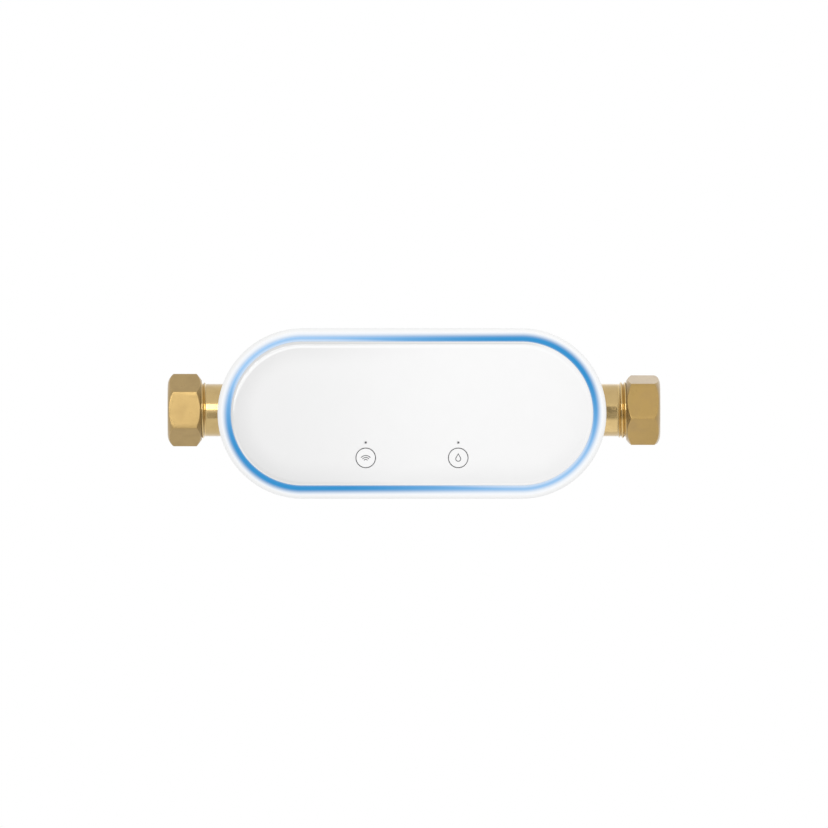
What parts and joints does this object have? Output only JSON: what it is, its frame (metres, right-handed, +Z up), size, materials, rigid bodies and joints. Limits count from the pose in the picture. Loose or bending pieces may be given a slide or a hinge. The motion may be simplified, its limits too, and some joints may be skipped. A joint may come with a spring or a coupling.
{
  "type": "smart water valve",
  "caption": "Motor-driven water shut-off valve in a pill-shaped housing with a lit front panel, push buttons and a compression connection at each end.",
  "frame": {"origin": "on the pipe axis, at the stop where the inlet pipe ends in its socket", "axes": "+X along the pipe in the direction of flow, +Z up, -Y towards the user, who faces the front panel"},
  "size_m": [0.2895, 0.088, 0.1],
  "materials": {
    "white_shell": "satin moulded",
    "white_panel": "polished",
    "light_guide": "translucent, lit from behind",
    "indicator": "clear light pipe",
    "brass": "machined",
    "ball_chrome": "polished",
    "steel": "turned",
    "motor_can": "drawn",
    "rubber": "matt",
    "seat_polymer": "smooth",
    "flow_polymer": "smooth",
    "rotor_polymer": "smooth",
    "gear_polymer": "moulded",
    "gearbox_polymer": "moulded",
    "frame_polymer": "moulded",
    "board": "lacquered",
    "light_chip": "smooth",
    "chip_black": "moulded",
    "shield": "tinned",
    "capacitor": "sleeved",
    "plug_polymer": "moulded",
    "socket_polymer": "moulded",
    "magnet": "plated",
    "lead_black": "smooth",
    "lead_red": "smooth"
  },
  "bodies": {
    "valve": {"front_cover": "white_shell", "rear_cover": "white_shell", "cover_gasket": "rubber", "cover_screws": "steel", "neck_seals": "rubber", "front_panel": "white_panel", "panel_carrier": "frame_polymer", "light_ring": "light_guide", "light_board": "board", "light_chips": "light_chip", "connection_switch": "chip_black", "water_switch": "chip_black", "connection_indicator": "indicator", "water_indicator": "indicator", "control_board": "board", "board_screws": "steel", "radio_module": "shield", "board_capacitors": "capacitor", "board_connectors": "plug_polymer", "position_sensor": "chip_black", "power_socket": "socket_polymer", "valve_body": "brass", "inlet_connector": "brass", "outlet_connector": "brass", "connector_seals": "rubber", "upstream_seat": "seat_polymer", "downstream_seat": "seat_polymer", "stem_seal": "rubber", "stem_gland": "brass", "flow_straightener": "flow_polymer", "turbine_sleeve": "flow_polymer", "turbine_axle": "steel", "flow_sensor": "chip_black", "pressure_sensor": "steel", "pressure_seal": "rubber", "temperature_probe": "steel", "gearbox_base": "gearbox_polymer", "gearbox_cover": "gearbox_polymer", "gearbox_screws": "steel", "motor": "motor_can", "idler_pin": "steel", "power_lead": "lead_black", "motor_lead": "lead_red", "sensor_leads": "lead_black"},
    "ball_drive": {"ball": "ball_chrome", "valve_stem": "steel", "output_gear": "gear_polymer", "position_magnet": "magnet"},
    "idler": {"idler_gear": "gear_polymer"},
    "motor_rotor": {"motor_pinion": "brass"},
    "turbine": {"turbine_rotor": "rotor_polymer", "rotor_magnets": "magnet"},
    "connection_button": {"connection_button": "white_panel", "connection_plunger": "chip_black"},
    "water_button": {"water_button": "white_panel", "water_plunger": "chip_black"},
    "inlet_olive": {"inlet_olive": "brass"},
    "inlet_nut": {"inlet_nut": "brass"},
    "outlet_olive": {"outlet_olive": "brass"},
    "outlet_nut": {"outlet_nut": "brass"}
  },
  "joints": [
    {"name": "ball_turn", "type": "hinge", "parent": "valve", "child": "ball_drive", "pos_m": [0.092, 0, 0], "axis": [0, -1, 0], "range_deg": [0, 90]},
    {"name": "idler_turn", "type": "hinge", "parent": "valve", "child": "idler", "pos_m": [0.10489, 0, 0.01929], "axis": [0, -1, 0], "range_deg": [-312, 0]},
    {"name": "motor_turn", "type": "hinge", "parent": "valve", "child": "motor_rotor", "pos_m": [0.122, 0, 0.028], "axis": [0, -1, 0], "range_deg": [0, 935]},
    {"name": "turbine_spin", "type": "hinge", "parent": "valve", "child": "turbine", "pos_m": [0.158, 0, 0], "axis": [1, 0, 0], "continuous": true},
    {"name": "connection_press", "type": "slide", "parent": "valve", "child": "connection_button", "axis": [0, 1, 0], "range_m": [0, 0.0006], "stiffness_N_per_m": 800},
    {"name": "water_press", "type": "slide", "parent": "valve", "child": "water_button", "axis": [0, 1, 0], "range_m": [0, 0.0006], "stiffness_N_per_m": 800},
    {"name": "inlet_nut_draw", "type": "slide", "parent": "valve", "child": "inlet_olive", "axis": [-1, 0, 0], "range_m": [0, 0.0105]},
    {"name": "inlet_nut_turn", "type": "hinge", "parent": "inlet_olive", "child": "inlet_nut", "pos_m": [-0.017, 0, 0], "axis": [-1, 0, 0], "range_deg": [0, 1620]},
    {"name": "outlet_nut_draw", "type": "slide", "parent": "valve", "child": "outlet_olive", "axis": [1, 0, 0], "range_m": [0, 0.0082]},
    {"name": "outlet_nut_turn", "type": "hinge", "parent": "outlet_olive", "child": "outlet_nut", "pos_m": [0.251, 0, 0], "axis": [1, 0, 0], "range_deg": [0, 1260]}
  ],
  "couplings": [
    {"joint": "idler_turn", "follows": "ball_turn", "ratio": -3.4615},
    {"joint": "motor_turn", "follows": "ball_turn", "ratio": 10.385},
    {"joint": "inlet_nut_draw", "follows": "inlet_nut_turn", "m_per_rad": 0.00036749},
    {"joint": "outlet_nut_draw", "follows": "outlet_nut_turn", "m_per_rad": 0.00036749}
  ]
}
